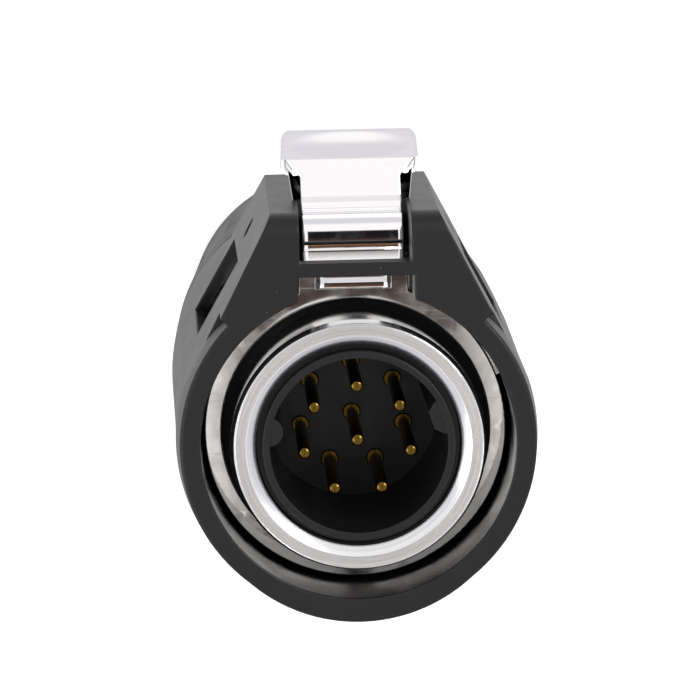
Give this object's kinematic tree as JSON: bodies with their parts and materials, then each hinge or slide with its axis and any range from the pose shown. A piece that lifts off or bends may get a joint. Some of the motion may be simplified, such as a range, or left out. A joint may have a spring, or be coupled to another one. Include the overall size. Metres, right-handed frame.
{
  "type": "push pull circular connector",
  "caption": "Round cable plug with gold pins in a keyed cup, a metal nose inside a black shell, a sprung thumb lever that latches it, and a screw-down cable clamp.",
  "frame": {"origin": "on the plug's axis at the clamp nut's flat rear end", "axes": "+Z along the axis toward the mating nose; the latch lever faces -Y; +X to the right when the lever side is seen"},
  "size_m": [0.0304, 0.0396, 0.0621],
  "materials": {
    "shell_plastic": "fine textured black",
    "nut_plastic": "fine textured black",
    "coupler_plastic": "moulded black",
    "insert_plastic": "smooth black",
    "retainer_plastic": "moulded dark grey",
    "lever_metal": "bright plated",
    "chassis_metal": "bright plated",
    "nose_metal": "turned, satin",
    "lock_ring_metal": "turned",
    "spring_steel": "drawn wire",
    "cross_pin_steel": "ground",
    "contact_gold": "gold plated",
    "claw_metal": "pressed, plated",
    "washer_metal": "pressed",
    "gland_rubber": "soft black",
    "seal_rubber": "soft black"
  },
  "bodies": {
    "plug_body": {"front_shell": "shell_plastic", "chassis": "chassis_metal", "nose_sleeve": "nose_metal", "nose_seal": "seal_rubber", "insert_body": "insert_plastic", "insert_retainer": "retainer_plastic", "lock_ring": "lock_ring_metal", "contact_1": "contact_gold", "contact_2": "contact_gold", "contact_3": "contact_gold", "contact_4": "contact_gold", "contact_5": "contact_gold", "contact_6": "contact_gold", "contact_7": "contact_gold", "contact_8": "contact_gold", "latch_pin": "cross_pin_steel", "latch_spring": "spring_steel", "rear_coupler": "coupler_plastic", "coupler_seal": "seal_rubber", "cable_gland": "gland_rubber", "clamp_claw": "claw_metal"},
    "latch": {"latch_lever": "lever_metal"},
    "clamp_travel": {"thrust_washer": "washer_metal"},
    "nut": {"clamp_nut": "nut_plastic"}
  },
  "joints": [
    {"name": "latch_release", "type": "hinge", "parent": "plug_body", "child": "latch", "pos_m": [0, -0.01595, 0.0499], "axis": [1, 0, 0], "range_deg": [0, 12], "stiffness_Nm_per_rad": 0.02, "springref_deg": -68.75, "deforming": ["latch_spring"]},
    {"name": "nut_travel", "type": "slide", "parent": "plug_body", "child": "clamp_travel", "axis": [0, 0, 1], "range_m": [-0.003, 0]},
    {"name": "nut_turn", "type": "hinge", "parent": "clamp_travel", "child": "nut", "pos_m": [0, 0, 0], "axis": [0, 0, 1], "range_deg": [-1080, 0]}
  ],
  "couplings": [
    {"joint": "nut_turn", "follows": "nut_travel", "rad_per_m": 6283.2}
  ]
}
